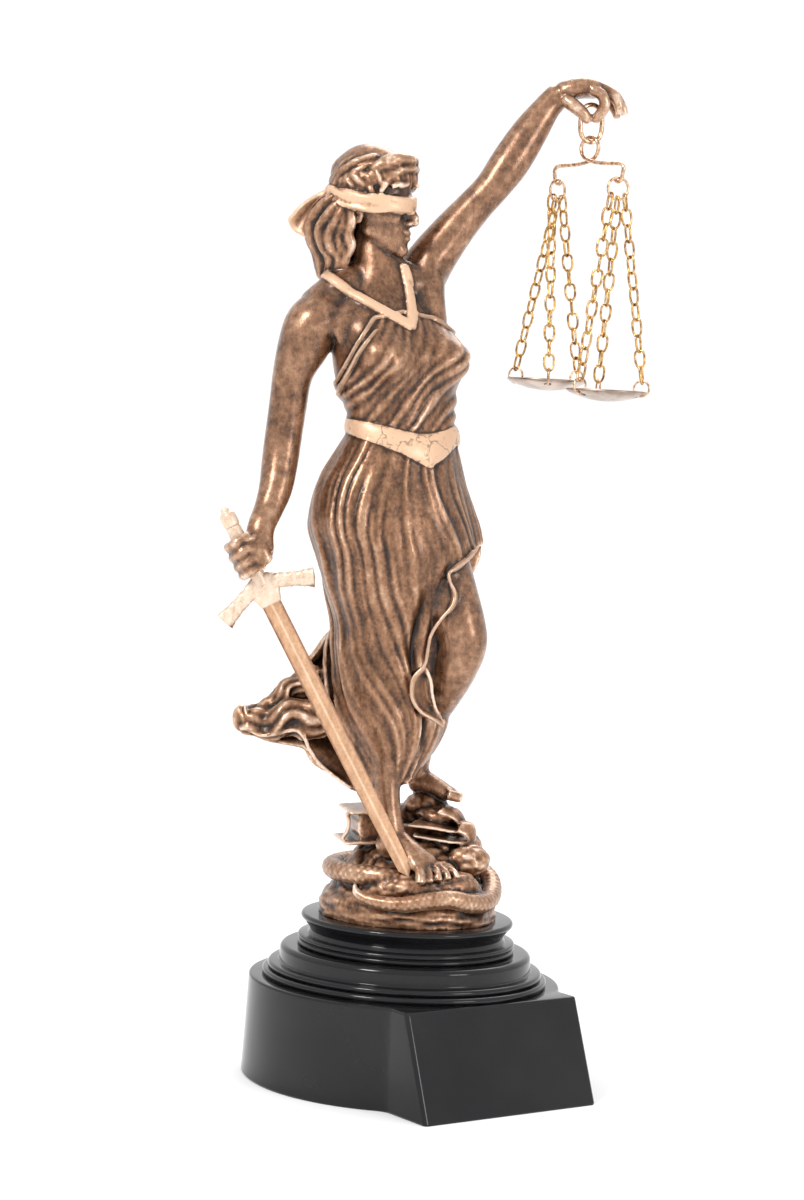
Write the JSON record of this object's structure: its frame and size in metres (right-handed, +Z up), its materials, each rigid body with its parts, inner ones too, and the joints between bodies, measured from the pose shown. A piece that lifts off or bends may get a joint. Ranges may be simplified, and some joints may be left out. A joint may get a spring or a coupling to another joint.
{
  "type": "justice trophy",
  "caption": "Award trophy: a blindfolded bronze figure of Justice on a rocky mound holds a sword and raises hanging balance scales, on a black stepped base with a slanted plate face.",
  "frame": {"origin": "bottom centre of the base's drum, on the surface it stands on", "axes": "+Z up, -Y out of the slanted front face of the base, +X to the right seen from that face"},
  "size_m": [0.1376, 0.1168, 0.3458],
  "materials": {
    "black_gloss": "gloss black",
    "bronze_cast": "cast resin with bronze paint, dark in the folds, gold on the trims",
    "gold_paint": "satin gold paint",
    "brass_wire": "polished wire",
    "gold_chain": "polished gold plating",
    "brass_pan": "satin metal"
  },
  "bodies": {
    "root": {"base": "black_gloss", "figure": "bronze_cast", "hanging_ring": "brass_wire", "left_chain_1": "gold_chain", "left_chain_2": "gold_chain", "left_chain_3": "gold_chain", "left_hook_ring": "brass_wire", "left_pan": "brass_pan", "left_pan_ring_1": "brass_wire", "left_pan_ring_2": "brass_wire", "left_pan_ring_3": "brass_wire", "right_chain_1": "gold_chain", "right_chain_2": "gold_chain", "right_chain_3": "gold_chain", "right_hook_ring": "brass_wire", "right_pan": "brass_pan", "right_pan_ring_1": "brass_wire", "right_pan_ring_2": "brass_wire", "right_pan_ring_3": "brass_wire", "scale_beam": "brass_wire", "sword": "gold_paint"}
  },
  "joints": []
}
